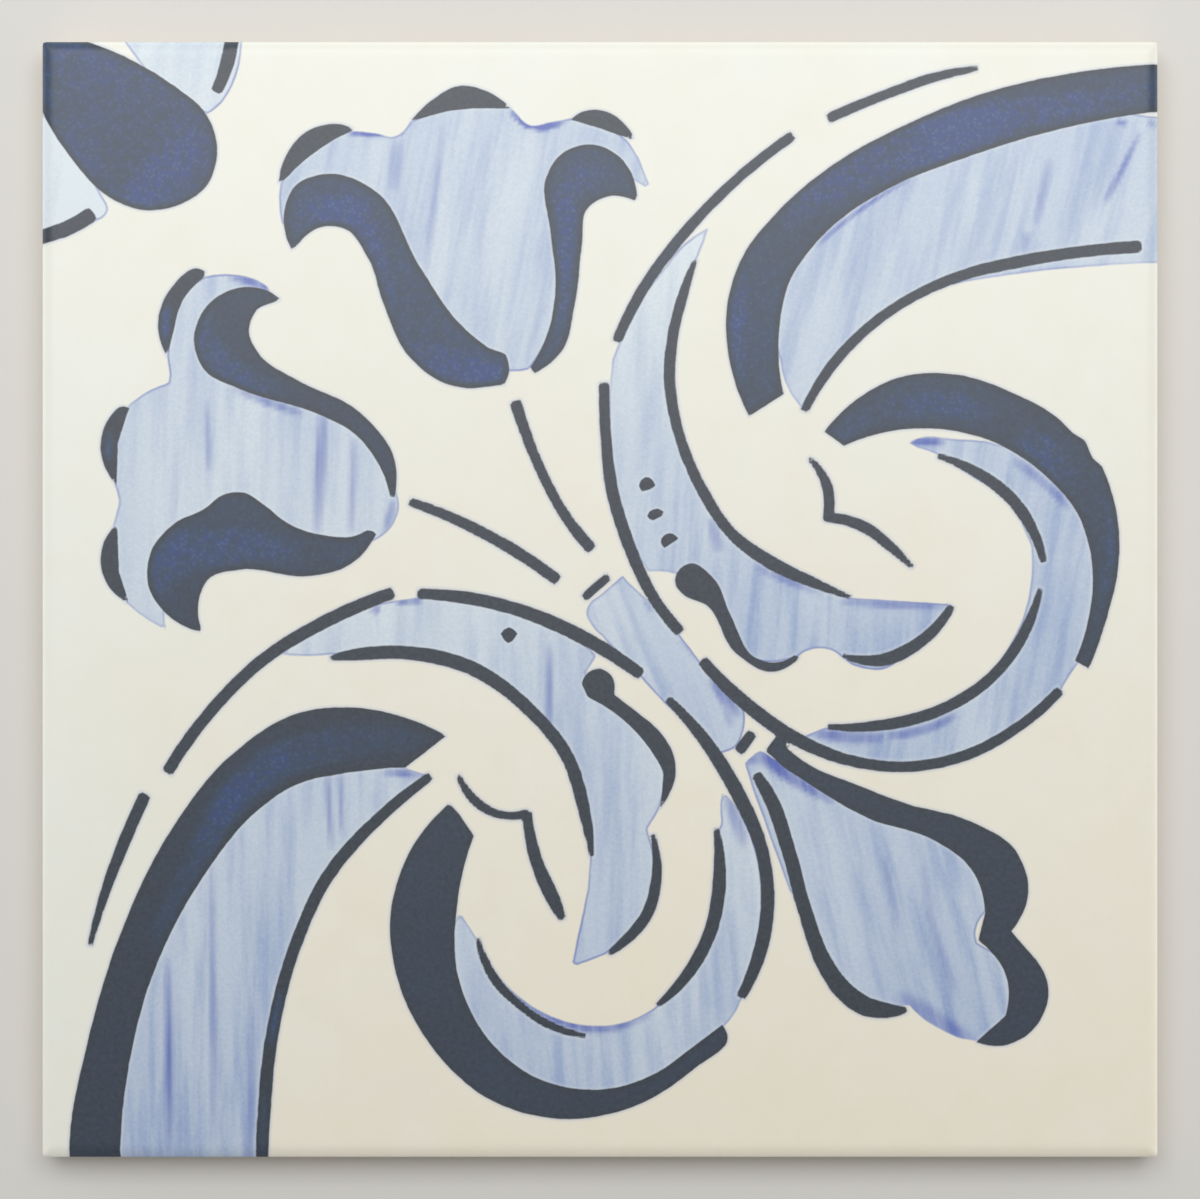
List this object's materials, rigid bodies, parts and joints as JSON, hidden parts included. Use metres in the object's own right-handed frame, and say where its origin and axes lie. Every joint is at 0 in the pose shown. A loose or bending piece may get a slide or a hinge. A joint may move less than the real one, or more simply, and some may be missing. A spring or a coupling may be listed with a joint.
{
  "type": "decorative wall tile",
  "caption": "Square glazed ceramic wall tile with soft cushion edges, a brush-painted blue scroll and tulip face, and a waffle of shallow key pockets in its back.",
  "frame": {"origin": "middle of the bedding face, where the part lies on the floor or on its adhesive bed", "axes": "+Z out of the glazed face, +Y to the edge that is uppermost on the wall, +X to the right as the face is seen"},
  "size_m": [0.2, 0.2, 0.008],
  "materials": {
    "glazed_tile": "satin off-white glaze with brushed cobalt-blue decoration on the face, bare fired clay on the sides and back"
  },
  "bodies": {
    "root": {"tile": "glazed_tile"}
  },
  "joints": []
}
